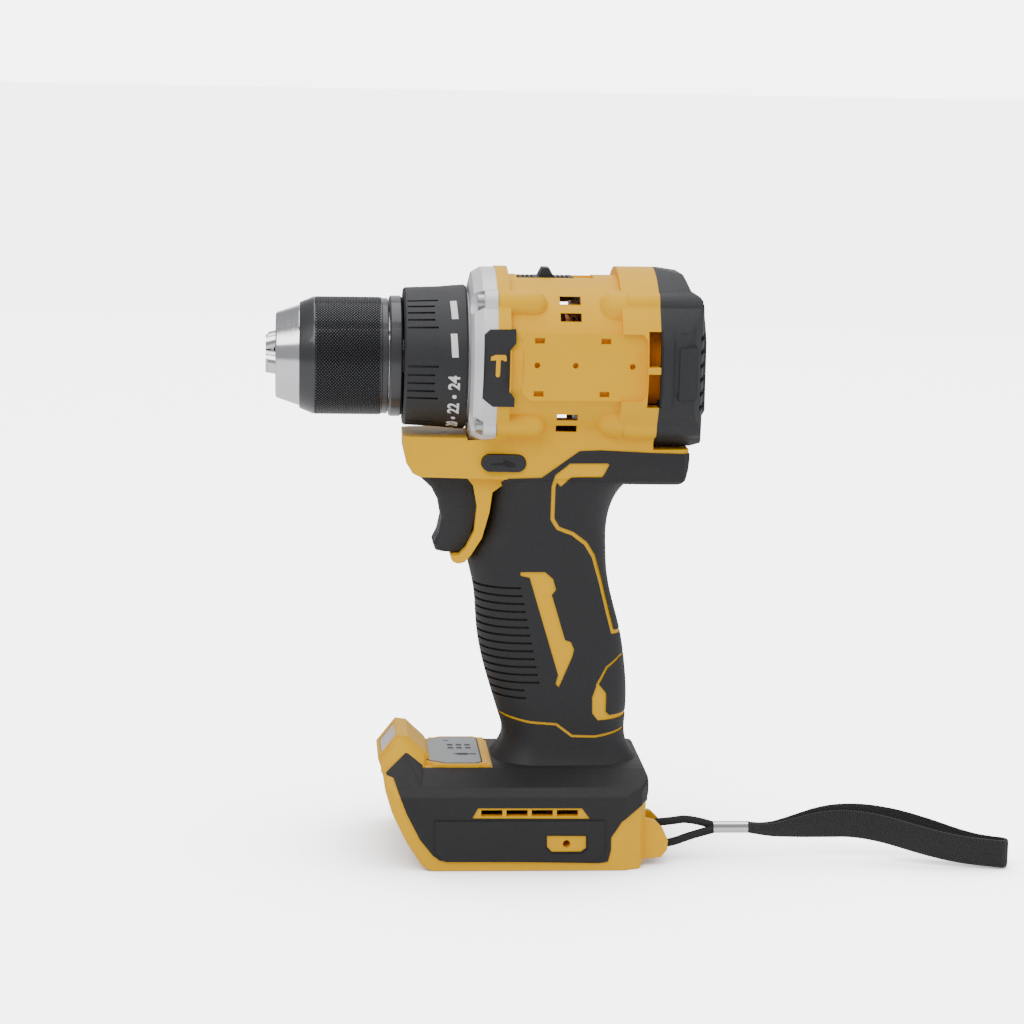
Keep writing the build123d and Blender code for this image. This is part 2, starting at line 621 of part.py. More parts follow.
jaw = jaw_rod(-4, jaw_length, jaw_r) - block(-95, jaw_tip_x, -20, 20, axis_z - 20, axis_z + 20)
keep = front([(-20, 20 * math.tan(math.radians(30))), (0, 0), (20, 20 * math.tan(math.radians(30))), (20, 40), (-20, 40)],
             -90, -40)
jaw = jaw & (Pos(0, 0, axis_z + 0.14) * keep)
bit_flat = rod(-95, jaw_tip_x + 12.0, bit_r)
nose_trim = turned([(-81, 7.4), (-81, 12), (jaw_tip_x + 2.4, 12), (jaw_tip_x + 0.6, 7.4)])
jaw = jaw - [bit_flat, nose_trim]
threads = []
for k in range(5):
    x = -66.0 + 1.6 * k
    threads.append(turned([(x, jaw_outer(x) - 0.7), (x + 0.5, jaw_outer(x) + 1), (x - 0.5, jaw_outer(x) + 1)]))
jaw = jaw - threads
for number, piece in enumerate(thirds(jaw), 1):
    save(f"jaw_{number}", piece)

nut_x0, nut_x1 = -64.4, -59.2
body_r = 19.03
core_r = jaw_outer(nut_x0) - 0.35
chuck_body = turned([
    (-76.4, 0), (-76.4, 15.0), (-75.9, 15.6), (-68.0, 18.3), (-65.8, 18.36), (-65.8, core_r + 2.4),
    (nut_x0 - 0.1, core_r + 2.4), (nut_x0 - 0.1, core_r), (nut_x1 + 0.1, core_r), (nut_x1 + 0.1, 17.4),
    (-41.0, 17.4), (-41.0, body_r), (-36.0, body_r), (-36.0, 16.0), (-31.2, 16.0), (-31.2, 0),
])
body_cuts = [rod(-80, -52.0, 6.6), rod(-53, -30, spindle_r)]
body_cuts += thirds(jaw_rod(-6, (-37.2 - jaw_tip_x) / cos_t, jaw_r + 0.08))
chuck_body = large(chuck_body - body_cuts)
save("chuck_body", chuck_body)
save("chuck_screw", rod(-50.0, -36.0, 2.95) + rod(-50.0, -46.05, 4.6) - rod(-51, -48, 2.0))
save("chuck_rear_ring", turned([(-35.4, 16.0), (-35.4, 21.4), (-34.8, 22.0), (-31.4, 22.0), (-30.8, 21.4), (-30.8, 16.0)]))
sleeve = turned([
    (-67.8, 18.42), (-67.8, 19.0), (-67.2, 19.5), (-63.0, sleeve_r - 0.2), (-62.4, sleeve_r), (-38.3, sleeve_r),
    (-37.9, 21.0), (-36.1, 21.0), (-35.7, 20.6), (-35.7, sleeve_bore), (-65.4, sleeve_bore), (-65.4, 18.42),
])
save("chuck_sleeve", sleeve)
nut = turned([
    (nut_x0, jaw_outer(nut_x0) + 0.12), (nut_x0, sleeve_bore), (nut_x1, sleeve_bore), (nut_x1, jaw_outer(nut_x1) + 0.12),
])
save("chuck_nut", nut - block(nut_x0 - 1, nut_x1 + 1, -30, 30, axis_z - 0.2, axis_z + 0.2))

print("motor")
save("motor_mount", (rod(20.5, 23.5, stator_r) + rod(20.5, 25.5, 9.0)) - [
    rod(21.2, 26, bearing_r), rod(19, 30, shaft_r + 0.8), turn(rod(19, 30, 3.0, 0, axis_z + 16), 30),
    turn(rod(19, 30, 3.0, 0, axis_z + 16), 150), turn(rod(19, 30, 3.0, 0, axis_z + 16), 270),
])
for name, x in (("front_bearing", 21.2), ("rear_bearing", 59.0)):
    save(name, rod(x, x + bearing_w, bearing_r) - rod(x - 1, x + 9, shaft_r + 0.02))
s0, s1 = stator_x
pole_in = 13.2
stator = rod(s0, s1, stator_r) - rod(s0 - 1, s1 + 1, 21.6)
coils = []
for k in range(6):
    shoe = (rod(s0, s1, 15.0) - rod(s0 - 1, s1 + 1, pole_in)) & block(s0, s1, -5.6, 5.6, axis_z + 9, axis_z + 16)
    tooth = block(s0, s1, -2.2, 2.2, axis_z + 14.4, axis_z + 22.4)
    stator = stator + [turn(shoe, 60 * k), turn(tooth, 60 * k)]
    coil = block(s0 - 3.0, s1 + 0.9, -5.0, 5.0, axis_z + 15.3, axis_z + 20.6)
    coils.append(turn(coil - block(s0, s1, -2.2, 2.2, axis_z, axis_z + 30), 60 * k).solid())
save("motor_stator", stator)
save("motor_windings", Compound(children=coils))
rotor_x = (34.0, 51.0)
save("rotor_core", rod(*rotor_x, 12.6) - rod(30, 60, shaft_r))
motor_shaft = rod(13.9, 63.0, shaft_r) + gear_solid(sun_teeth, 13.9, 19.8)
save("motor_shaft", motor_shaft)
blades = [turn(block(53.6, 57.4, -0.6, 0.6, axis_z + 9, axis_z + 23), 30 * k) for k in range(12)]
fan = rod(52.9, 53.9, 23.6) + rod(52.9, 57.4, 5.5) + blades
save("fan", fan - rod(50, 60, shaft_r))

print("controls")
trigger_side = [
    (-24.0, 140.8), (-19.5, 136.7), (-16.9, 131.8), (-15.6, 125.1), (-16.7, 119.5), (-18.5, 115.7),
    (-17.6, 113.4), (-15.6, 112.9), (-9.0, 113.0), (-5.4, 118.0), (-3.0, 128.0), (-2.6, 140.8),
]
trigger = side(trigger_side, -trigger_half, trigger_half)
front_edges = trigger.edges().filter_by(lambda e: abs(abs(e.center().Y) - trigger_half) < 0.01 and e.center().X < -14)
trigger = fillet(front_edges, 2.6)
trigger += rod(-4.0, 12.0, 2.6, 0, 129.0)
trigger -= side([(-13.0, 116.0), (-9.0, 116.0), (-4.6, 128.0), (-4.4, 138.5), (-14.0, 138.5)], -7.4, 7.4) - \
    rod(-20, 20, 4.0, 0, 129.0)
save("trigger", trigger)
switch = block(6.0, 31.0, -9.0, 9.0, 113.0, 136.4) - [rod(0, 20, 2.6 + slide_gap, 0, 129.0)]
for x, z in shell_screw_at:
    switch = switch - cross(x, z, 3.8, -20, 20)
save("switch_body", switch)
button_half = 19.7
button = pill(0, -button_half, -14.0) + [pill(0, 14.0, button_half), block(bx - 5, bx + 5, -15, 15, bz - 2.2, bz + 2.2)]
save("direction_button", button)
slider = block(11.5, 31.3, -6.4, 6.4, slot_floor_z + 0.05, 213.9)
slider = slider - [block(12.6 + 1.6 * k, 13.4 + 1.6 * k, -7, 7, 213.3, 215) for k in range(11) if not 3 <= k <= 6]
knob = side([(18.4, 213.5), (19.4, 215.6), (20.2, 217.1), (22.6, 217.1), (23.4, 215.6), (24.6, 213.5)], -4.6, 4.6)
save("speed_slider", slider + knob)

print("hammer plates")
plates = [side(plate_side, 29.0, 31.2), side(plate_side, -31.2, -29.0)]
save("hammer_plate_left", plates[0])
save("hammer_plate_right", plates[1])

print("electrics and strap pieces")
save("terminal_block", block(*terminal_box, bay_top, 18.0) + block(-6, 20, -12, 12, 18, 21))
blades = [block(-6.0, 14.0, y - 0.4, y + 0.4, 7.0, bay_top) for y in (-13.5, -6.5, 6.5, 13.5)]
save("terminal_blades", Compound(children=[b.solid() for b in blades]))
save("control_board", block(25.0, 45.5, -14.0, 14.0, 16.5, 18.1) + block(28, 43, -9, 9, 18.1, 23))
save("strap_bar", cross(bar_x, bar_z, bar_r, lug_out + 0.8, lug_in - 0.8))


# ---- wrist strap: a thin cord looped round the bar, a crimp, and doubled webbing on edge ----
def cord(name, route, diameter, room, given=None):
    """Tube of straight runs joined by arcs as large as the runs allow; given sets chosen corners.

    The tube's ends are trimmed to room, so that they meet the crimp face to face."""
    points = [Vector(*p) for p in route]
    radii = []
    for k in range(1, len(points) - 1):
        before, after = points[k] - points[k - 1], points[k + 1] - points[k]
        half_turn = math.radians(before.get_angle(after)) / 2
        radii.append((given or {}).get(k, 0.45 * min(before.length, after.length) / math.tan(half_turn)))
    path = FilletPolyline(*points, radius=radii)
    tube = sweep(Plane(origin=path @ 0, z_dir=path % 0) * Circle(diameter / 2), path=path)
    section = math.pi * diameter ** 2 / 4
    print(name, "radii", [round(r, 1) for r in radii], "length", round(path.length, 1),
          "volume ratio", round(tube.volume / (section * path.length), 4))
    save(name, tube & room)


crimp_x0, crimp_x1 = 86.3, 99.2
crimp_y, crimp_z, crimp_r = -22.05, 12.0, 2.2
wrap_r = bar_r + 1.3
thin_route = [
    (crimp_x0, -21.2, 12.6), (77.5, -21.0, 14.8), (70.5, -21.3, 13.2), (bar_x - wrap_r, -21.7, bar_z + wrap_r),
    (bar_x - wrap_r, -22.3, bar_z - wrap_r), (70.5, -22.7, 6.6), (78.0, -22.9, 9.4), (crimp_x0, -22.9, 11.4),
]
webbing_route = [
    (crimp_x1, crimp_y, crimp_z), (110.0, -20.8, 13.5), (124.0, -20.4, 14.4), (138.0, -21.2, 13.2),
    (152.0, -22.4, 10.0), (165.0, -24.6, 7.0), (179.0, -28.6, 5.5), (191.0, -33.4, 5.4),
]
cord("strap_cord", thin_route, 2.0, block(0, crimp_x0, -60, 0, -5, 60), {3: wrap_r - 0.05, 4: wrap_r - 0.05})
save("strap_ferrule", rod(crimp_x0, crimp_x1, crimp_r, crimp_y, crimp_z))
cord("strap_webbing", webbing_route, 10.5, block(crimp_x1, 260, -90, 30, -5, 60))
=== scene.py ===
import json
import math

import bmesh
import bpy
from mathutils import Matrix, Vector


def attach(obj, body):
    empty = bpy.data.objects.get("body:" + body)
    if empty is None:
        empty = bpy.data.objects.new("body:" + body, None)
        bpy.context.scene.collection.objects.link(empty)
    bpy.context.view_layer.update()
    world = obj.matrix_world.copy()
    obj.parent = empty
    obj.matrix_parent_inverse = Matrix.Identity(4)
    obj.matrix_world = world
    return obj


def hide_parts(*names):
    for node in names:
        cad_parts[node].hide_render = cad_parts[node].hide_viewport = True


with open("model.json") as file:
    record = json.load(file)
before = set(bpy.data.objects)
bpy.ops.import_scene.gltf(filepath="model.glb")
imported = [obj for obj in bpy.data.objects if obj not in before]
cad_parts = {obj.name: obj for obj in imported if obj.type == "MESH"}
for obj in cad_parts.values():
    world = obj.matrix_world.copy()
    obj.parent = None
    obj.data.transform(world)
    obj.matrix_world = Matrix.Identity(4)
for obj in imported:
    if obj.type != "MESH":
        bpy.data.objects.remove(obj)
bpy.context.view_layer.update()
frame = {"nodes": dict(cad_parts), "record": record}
nodes = frame["nodes"]
mm = 0.001
axisZ = 184.0    # height of the spindle line, mm
print("frame loaded")


# camera, lights and floor
def aim(position, target, roll=0.0):
    forward = (Vector(target) - Vector(position)).normalized()
    right = forward.cross(Vector((0, 0, 1))).normalized()
    up = right.cross(forward)
    turn = Matrix((right, up, -forward)).transposed().to_4x4()
    return Matrix.Translation(position) @ turn @ Matrix.Rotation(roll, 4, "Z")


view = {"target": (11.0, 0.0, 126.4), "distance": 1000.0, "yaw": 4.5, "pitch": 9.65, "roll": 1.1,
        "lens": 95.0, "sensor": 36.0, "near": 0.01}
yaw, pitch = math.radians(view["yaw"]), math.radians(view["pitch"])
ahead = Vector((math.sin(yaw) * math.cos(pitch), math.cos(yaw) * math.cos(pitch), -math.sin(pitch)))
target = Vector(view["target"]) * mm
cameraData = bpy.data.cameras.new("camera")
cameraData.lens = view["lens"]
cameraData.sensor_width = view["sensor"]
cameraData.clip_start = view["near"]
camera = bpy.data.objects.new("camera", cameraData)
bpy.context.collection.objects.link(camera)
camera.matrix_world = aim(target - ahead * view["distance"] * mm, target, math.radians(view["roll"]))
bpy.context.scene.camera = camera

lampTarget = (0, 0, 0.1)
lights = [
    {"name": "key", "at": (-0.7, -1.1, 1.5), "size": 1.2, "power": 19},
    {"name": "fill", "at": (1.3, -0.9, 0.9), "size": 1.4, "power": 6},
    {"name": "top", "at": (0.1, 0.3, 1.8), "size": 1.6, "power": 20},
    {"name": "back", "at": (0.3, 1.6, 0.9), "size": 1.4, "power": 5},
]
for spec in lights:
    data = bpy.data.lights.new(spec["name"], "AREA")
    data.size = spec["size"]
    data.energy = spec["power"]
    lamp = bpy.data.objects.new(spec["name"], data)
    bpy.context.collection.objects.link(lamp)
    lamp.matrix_world = aim(Vector(spec["at"]), Vector(lampTarget))

studio = {"color": (0.97, 0.975, 1.0), "light": 0.42, "backdrop": 5.6, "floorGlow": 4.6}


# one Math node; a number goes on its socket, anything else is linked to it
def maths(tree, kind, *values):
    node = tree.nodes.new("ShaderNodeMath")
    node.operation = kind
    for socket, value in zip(node.inputs, values):
        if isinstance(value, float):
            socket.default_value = value
        else:
            tree.links.new(value, socket)
    return node.outputs["Value"]


# a strength that is higher for the camera than for the light that it gives
def seenOnly(tree, level, extra):
    path = tree.nodes.new("ShaderNodeLightPath")
    return maths(tree, "MULTIPLY_ADD", path.outputs["Is Camera Ray"], extra, level)


def newMaterial(name):
    made = bpy.data.materials.new(name)
    made.use_nodes = True
    return made, made.node_tree, made.node_tree.nodes["Principled BSDF"]


world = bpy.data.worlds.new("studio")
world.use_nodes = True
sky = world.node_tree.nodes["Background"]
sky.inputs["Color"].default_value = (*studio["color"], 1)
skyStrength = seenOnly(world.node_tree, studio["light"], studio["backdrop"])
world.node_tree.links.new(skyStrength, sky.inputs["Strength"])
bpy.context.scene.world = world

floorSpec = {"size": 40.0, "height": -0.0002, "color": (0.9, 0.905, 0.915), "rough": 0.9, "specular": 0.2,
             "shade": 0.09, "shadeSamples": 12, "shadeDepth": 2.0}
bpy.ops.mesh.primitive_plane_add(size=floorSpec["size"], location=(0, 0, floorSpec["height"]))
floor = bpy.context.object
floor.name = "floor"
paper, tree, surface = newMaterial("paper")
surface.inputs["Base Color"].default_value = (*floorSpec["color"], 1)
surface.inputs["Roughness"].default_value = floorSpec["rough"]
surface.inputs["Specular IOR Level"].default_value = floorSpec["specular"]
surface.inputs["Emission Color"].default_value = (*studio["color"], 1)
# painted contact shadow: the floor's camera-only glow is dimmed by ambient occlusion, darker where the floor meets
# the drill
paintedContactShade = tree.nodes.new("ShaderNodeAmbientOcclusion")
paintedContactShade.inputs["Distance"].default_value = floorSpec["shade"]
paintedContactShade.samples = floorSpec["shadeSamples"]
paintedShadow = maths(tree, "POWER", paintedContactShade.outputs["AO"], floorSpec["shadeDepth"])
glow = maths(tree, "MULTIPLY", seenOnly(tree, 0.0, studio["floorGlow"]), paintedShadow)
tree.links.new(glow, surface.inputs["Emission Strength"])
floor.data.materials.append(paper)
print("studio set")


# materials: slow change of tone and roughness over the part, and a fine grain as bump
wear = {"scale": 45, "dark": 0.94, "light": 1.05, "leastRough": 0.02, "detail": 3, "depth": 0.0002}


def shader(name, color, roughness, metallic=0.0, grain=0.0, scale=900.0, stretch=(1, 1, 1), vary=0.08,
           **sockets):
    made, tree, surface = newMaterial(name)
    surface.inputs["Metallic"].default_value = metallic
    for socket, value in sockets.items():
        surface.inputs[socket.replace("_", " ")].default_value = value
    place = tree.nodes.new("ShaderNodeTexCoord")
    mapping = tree.nodes.new("ShaderNodeMapping")
    mapping.inputs["Scale"].default_value = stretch
    noise = tree.nodes.new("ShaderNodeTexNoise")
    noise.inputs["Scale"].default_value = scale
    noise.inputs["Detail"].default_value = wear["detail"]
    tree.links.new(place.outputs["Object"], mapping.inputs["Vector"])
    tree.links.new(mapping.outputs["Vector"], noise.inputs["Vector"])
    soft = tree.nodes.new("ShaderNodeTexNoise")
    soft.inputs["Scale"].default_value = wear["scale"]
    tree.links.new(place.outputs["Object"], soft.inputs["Vector"])
    rough = tree.nodes.new("ShaderNodeMapRange")
    rough.inputs["To Min"].default_value = max(wear["leastRough"], roughness - vary)
    rough.inputs["To Max"].default_value = roughness + vary
    tree.links.new(soft.outputs["Fac"], rough.inputs["Value"])
    tree.links.new(rough.outputs["Result"], surface.inputs["Roughness"])
    tint = tree.nodes.new("ShaderNodeMix")
    tint.data_type = "RGBA"
    tint.inputs["A"].default_value = (*[c * wear["dark"] for c in color], 1)
    tint.inputs["B"].default_value = (*[min(1.0, c * wear["light"]) for c in color], 1)
    tree.links.new(soft.outputs["Fac"], tint.inputs["Factor"])
    tree.links.new(tint.outputs["Result"], surface.inputs["Base Color"])
    if grain:
        bump = tree.nodes.new("ShaderNodeBump")
        bump.inputs["Strength"].default_value = grain
        bump.inputs["Distance"].default_value = wear["depth"]
        tree.links.new(noise.outputs["Fac"], bump.inputs["Height"])
        tree.links.new(bump.outputs["Normal"], surface.inputs["Normal"])
    return made


looks = {
    "shell": shader("shell_yellow", (0.94, 0.50, 0.004), 0.44, grain=0.10, scale=2600, Specular_IOR_Level=0.2),
    # the shell colour made darker and more orange: painted shade for the inside seen through the vents
    "shell_painted_shade": shader("shell_painted_shade", (0.85, 0.27, 0.008), 0.5, grain=0.1, scale=2600,
                          Specular_IOR_Level=0.2),
    "soft": shader("soft_dark", (0.0145, 0.0145, 0.016), 0.6, grain=0.35, scale=3400),
    "dark_plastic": shader("dark_plastic", (0.019, 0.0195, 0.022), 0.55, grain=0.5, scale=1500),
    "grey_plastic": shader("grey_plastic", (0.33, 0.345, 0.365), 0.5, grain=0.2, scale=2400),
    "clear": shader("lens_clear", (0.86, 0.80, 0.78), 0.18, Transmission_Weight=0.35, IOR=1.49),
    "alloy": shader("cast_alloy", (0.86, 0.865, 0.88), 0.44, metallic=0.35, grain=0.35, scale=1800),
    "steel": shader("steel", (0.55, 0.55, 0.56), 0.3, metallic=1.0, grain=0.08, scale=700),
    "black_steel": shader("black_steel", (0.055, 0.055, 0.06), 0.3, metallic=0.5, grain=0.05, scale=900,
                          Coat_Weight=0.4),
    "polished_steel": shader("polished_steel", (0.78, 0.78, 0.79), 0.14, metallic=1.0, grain=0.12, scale=240,
                             stretch=(9, 0.6, 0.6), vary=0.04),
    "copper": shader("copper", (0.72, 0.34, 0.16), 0.35, metallic=1.0, grain=0.3, scale=1200),
    "board": shader("board_green", (0.02, 0.16, 0.07), 0.5, grain=0.1),
    "laminated": shader("laminated", (0.25, 0.25, 0.26), 0.4, metallic=0.9, grain=0.5, scale=900,
                        stretch=(12, 0.3, 0.3)),
    "webbing": shader("webbing_black", (0.012, 0.012, 0.013), 0.8, grain=0.8, scale=1400),
    "print": shader("print_white", (0.85, 0.85, 0.85), 0.5, grain=0.1),
}


# woven band: rows of stitches between ribs, from the band's own UV (millimetres along it, parts of its width)
weave = {"rough": 0.7, "sheen": 0.15, "rows": 11.0, "ribs": 3.6, "offset": 0.5, "ribShape": 0.6,
         "stitch": 0.7, "ground": 0.3, "dark": 0.25, "light": 1.7, "strength": 1.0, "depth": 0.0005}


def wovenShader(name, color):
    made, tree, surface = newMaterial(name)
    surface.inputs["Roughness"].default_value = weave["rough"]
    surface.inputs["Sheen Weight"].default_value = weave["sheen"]
    uv = tree.nodes.new("ShaderNodeUVMap")
    uv.uv_map = "weave"
    split = tree.nodes.new("ShaderNodeSeparateXYZ")
    tree.links.new(uv.outputs["UV"], split.inputs["Vector"])
    row = maths(tree, "MULTIPLY", split.outputs["Y"], weave["rows"])
    column = maths(tree, "MULTIPLY", split.outputs["X"], weave["ribs"])
    count = maths(tree, "FLOOR", maths(tree, "DIVIDE", column, math.pi))
    shifted = maths(tree, "ADD", row, maths(tree, "MULTIPLY", count, weave["offset"]))
    stitch = maths(tree, "ABSOLUTE", maths(tree, "SINE", maths(tree, "MULTIPLY", shifted, math.pi)))
    rib = maths(tree, "POWER", maths(tree, "ABSOLUTE", maths(tree, "SINE", column)), weave["ribShape"])
    thread = maths(tree, "ADD", maths(tree, "MULTIPLY", stitch, weave["stitch"]), weave["ground"])
    height = maths(tree, "MULTIPLY", rib, thread)
    # colour follows the weave's height: painted shade in the grooves between threads and painted highlight on the
    # thread tops
    tone = tree.nodes.new("ShaderNodeMix")
    tone.data_type = "RGBA"
    tone.inputs["A"].default_value = (*[c * weave["dark"] for c in color], 1)
    tone.inputs["B"].default_value = (*[c * weave["light"] for c in color], 1)
    tree.links.new(height, tone.inputs["Factor"])
    tree.links.new(tone.outputs["Result"], surface.inputs["Base Color"])
    bump = tree.nodes.new("ShaderNodeBump")
    bump.inputs["Strength"].default_value = weave["strength"]
    bump.inputs["Distance"].default_value = weave["depth"]
    tree.links.new(height, bump.inputs["Height"])
    tree.links.new(bump.outputs["Normal"], surface.inputs["Normal"])
    return made


looks["woven"] = wovenShader("woven_black", (0.011, 0.011, 0.012))
slotOf = {row["node"]: row["material_slot"] for row in frame["record"]["subparts"]}
for name, part in nodes.items():
    for slot in part.material_slots:
        slot.material = looks[slotOf[name]]
print("materials set")


# the mesh becomes a piece that rides on a body; smooth is the angle up to which edges are smoothed
def meshPiece(name, bm, look, body, smooth=30):
    bmesh.ops.recalc_face_normals(bm, faces=bm.faces)
    data = bpy.data.meshes.new(name)
    bm.to_mesh(data)
    bm.free()
    piece = bpy.data.objects.new(name, data)
    bpy.context.collection.objects.link(piece)
    data.materials.append(look)
    if smooth:
        data.shade_smooth()
        data.set_sharp_from_angle(angle=math.radians(smooth))
    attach(piece, body)
    return piece


# smooth line through a free stretch of strap
def routeCurve(name, points, radius=0.0):
    data = bpy.data.curves.new(name, "CURVE")
    data.dimensions = "3D"
    data.resolution_u = 12
    spline = data.splines.new("NURBS")
    spline.points.add(len(points) - 1)
    for point, place in zip(spline.points, points):
        point.co = (*[v * mm for v in place], 1)
    spline.order_u = 3
    spline.use_endpoint_u = True
    data.bevel_depth = radius * mm
    data.bevel_resolution = 4
    data.use_fill_caps = True
    piece = bpy.data.objects.new(name, data)
    bpy.context.collection.objects.link(piece)
    return piece


def pointsOf(curve):
    traced = bpy.data.meshes.new_from_object(curve)
    points = [v.co.copy() for v in traced.vertices]
    bpy.data.meshes.remove(traced)
    return points


# wrist strap: the thin loop round the bar
strap = {"diameter": 3.0, "exit": (65.6, -22.0, 9.6), "length": 52.9}
thinRoute = [
    (86.3, -21.2, 12.5), (77.5, -21.0, 15.2), (70.5, -21.3, 14.1), (61.7, -21.7, 13.6),
    (61.7, -22.3, 5.6), (70.5, -22.7, 6.1), (78.0, -22.9, 9.2), (86.3, -22.9, 11.4),
]
thin = routeCurve("strap_loop", thinRoute, strap["diameter"] / 2)
thin.data.materials.append(looks["webbing"])
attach(thin, "housing")
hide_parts("strap_cord")

# doubled webbing, standing on edge: out on one layer, round the fold, back on the other
webbing = {"width": 10.2, "thick": 1.2, "length": 94.5, "neck": 3.8, "neckLength": 34.0,
           "apart": 1.6, "bow": 6.4, "bowFrom": 0.3, "bowLean": 1.3, "fold": 4.6, "foldDepth": 1.2, "foldSteps": 12,
           "rise": 1.5, "riseEnd": 1.1, "nearDrop": 0.4, "smooth": 50}
webbingRoute = [
    (99.2, -22.05, 12.0), (106.0, -21.6, 10.6), (117.0, -21.4, 11.9), (128.0, -21.4, 13.6),
    (139.0, -21.8, 14.1), (151.0, -23.2, 12.6), (163.0, -26.0, 9.9), (175.0, -29.6, 7.2),
    (184.0, -32.4, 5.9), (191.5, -34.2, 5.6),
]
guide = routeCurve("webbing_route", webbingRoute)
trail = pointsOf(guide)
bpy.data.objects.remove(guide)
print("strap points", len(trail))


def eased(share):
    return share * share * (3 - 2 * share)


# out on the near layer, round the fold at the far end, back on the far layer: centre and width at each step
def bandPath(points, spec):
    spans = [0.0]
    for a, b in zip(points, points[1:]):
        spans.append(spans[-1] + (b - a).length)
    total = spans[-1]
    near, far = [], []
    for k, (point, s) in enumerate(zip(points, spans)):
        along = (points[min(len(points) - 1, k + 1)] - points[max(0, k - 1)]).normalized()
        across = along.cross(Vector((0, 0, 1))).normalized()
        neck = min(1.0, s / (spec["neckLength"] * mm))
        width = (spec["neck"] + (spec["width"] - spec["neck"]) * eased(neck)) * mm
        part = min(1.0, max(0.0, (s / total - spec["bowFrom"]) / (1 - spec["bowFrom"])))
        bow = spec["bow"] * math.sin(math.pi * part ** spec["bowLean"]) ** 2
        apart = (spec["apart"] + bow + (spec["fold"] - spec["apart"]) * eased(part)) * mm
        lift = math.sin(math.pi * min(1.0, s / total * spec["riseEnd"])) ** 2
        rise = Vector((0, 0, spec["rise"] * mm * lift))
        near.append((point + across * apart / 2 - rise * spec["nearDrop"], width))
        far.append((point - across * apart / 2 + rise, width))
    tip = points[-1]
    radius = spec["fold"] / 2 * mm
    turnPath = []
    for k in range(1, spec["foldSteps"]):
        angle = math.pi * k / spec["foldSteps"]
        out = along * radius * math.sin(angle) * spec["foldDepth"]
        turnPath.append((tip + across * radius * math.cos(angle) + out, spec["width"] * mm))
    return near + turnPath + far[::-1]


# the band's section as shares of half its thickness and half its width, and how far round each corner lies
bandSection = ((1, -0.86), (1, 0.86), (0.6, 1), (-0.6, 1), (-1, 0.86), (-1, -0.86), (-0.6, -1), (0.6, -1))
bandRound = (0.0, 0.86, 0.93, 1.0, 1.07, 1.93, 2.0, 2.07, 2.14)


def band(name, path, spec, look, body):
    bm = bmesh.new()
    layer = bm.loops.layers.uv.new("weave")
    rings, lengths = [], [0.0]
    for k, (centre, width) in enumerate(path):
        before, after = path[max(0, k - 1)][0], path[min(len(path) - 1, k + 1)][0]
        along = (after - before).normalized()
        side = along.cross(Vector((0, 0, 1))).normalized() * spec["thick"] * mm / 2
        up = side.cross(along).normalized() * width / 2
        rings.append([bm.verts.new(centre + side * u + up * v) for u, v in bandSection])
        if k:
            lengths.append(lengths[-1] + (centre - path[k - 1][0]).length)
    count = len(bandSection)
    for k in range(len(rings) - 1):
        for j in range(count):
            quad = (rings[k][j], rings[k][(j + 1) % count], rings[k + 1][(j + 1) % count], rings[k + 1][j])
            face = bm.faces.new(quad)
            for loop, (u, v) in zip(face.loops, ((k, j), (k, j + 1), (k + 1, j + 1), (k + 1, j))):
                loop[layer].uv = (lengths[u] / mm, bandRound[v])
    bm.faces.new(rings[0])
    bm.faces.new(rings[-1])
    return meshPiece(name, bm, look, body, smooth=spec["smooth"])


strapBand = band("strap_band", bandPath(trail, webbing), webbing, looks["woven"], "housing")
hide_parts("strap_webbing")
print("strap drawn")


# point on a ring about the spindle line; angle 0 is up, a quarter turn is the near side
def atAngle(x, radius, angle):
    return Vector((x, -radius * math.sin(angle), axisZ + radius * math.cos(angle))) * mm


def lathe(bm, profile, steps):
    rings = [[bm.verts.new(atAngle(x, r, math.tau * k / steps)) for k in range(steps)] for x, r in profile]
    for a, b in zip(rings, rings[1:] + rings[:1]):
        for k in range(steps):
            j = (k + 1) % steps
            bm.faces.new((a[k], a[j], b[j], b[k]))


# chuck sleeve: turned ring with a fine diamond knurl
knurl = {"x0": -62.2, "x1": -38.5, "around": 108, "rows": 42, "root": 21.0, "peak": 21.42, "flat": 0.5,
         "steps": 192, "smooth": 12}
sleeveProfile = [
    (-67.8, 18.6), (-67.8, 19.0), (-67.5, 19.35), (-67.0, 19.6), (-63.2, 21.15), (-62.7, 21.35),
    (-62.4, 21.4), (-62.2, 21.4), (-62.15, 21.0), (-38.55, 21.0), (-38.5, 21.4), (-38.2, 21.4),
    (-37.9, 21.05), (-36.2, 21.05), (-35.9, 20.9), (-35.75, 20.5), (-35.75, 19.2), (-65.0, 19.2),
    (-65.4, 18.6),
]
bm = bmesh.new()
lathe(bm, sleeveProfile, knurl["steps"])
pitchX = (knurl["x1"] - knurl["x0"]) / knurl["rows"]
stepA = math.tau / knurl["around"]
corners = {}


# low point between four diamonds, shared by them
def corner(k, row):
    key = (k % (2 * knurl["around"]), row)
    if key not in corners:
        corners[key] = bm.verts.new(atAngle(knurl["x0"] + row * pitchX, knurl["root"], key[0] * stepA / 2))
    return corners[key]


for row in range(1, knurl["rows"]):
    for k in range(row % 2, 2 * knurl["around"], 2):
        ends = [corner(k, row - 1), corner(k + 1, row), corner(k, row + 1), corner(k - 1, row)]
        middle = atAngle(knurl["x0"] + row * pitchX, knurl["peak"], k * stepA / 2)
        top = []
        for end in ends:
            at = middle.lerp(end.co, knurl["flat"])
            out = Vector((0, at.y, at.z - axisZ * mm))
            at += out.normalized() * (knurl["peak"] * mm - out.length)
            top.append(bm.verts.new(at))
        bm.faces.new(top)
        for j in range(4):
            bm.faces.new((ends[j], ends[(j + 1) % 4], top[(j + 1) % 4], top[j]))
sleeve = meshPiece("knurled_sleeve", bm, looks["black_steel"], "sleeve_group",
                   smooth=knurl["smooth"])
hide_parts("chuck_sleeve")
print("sleeve knurled")

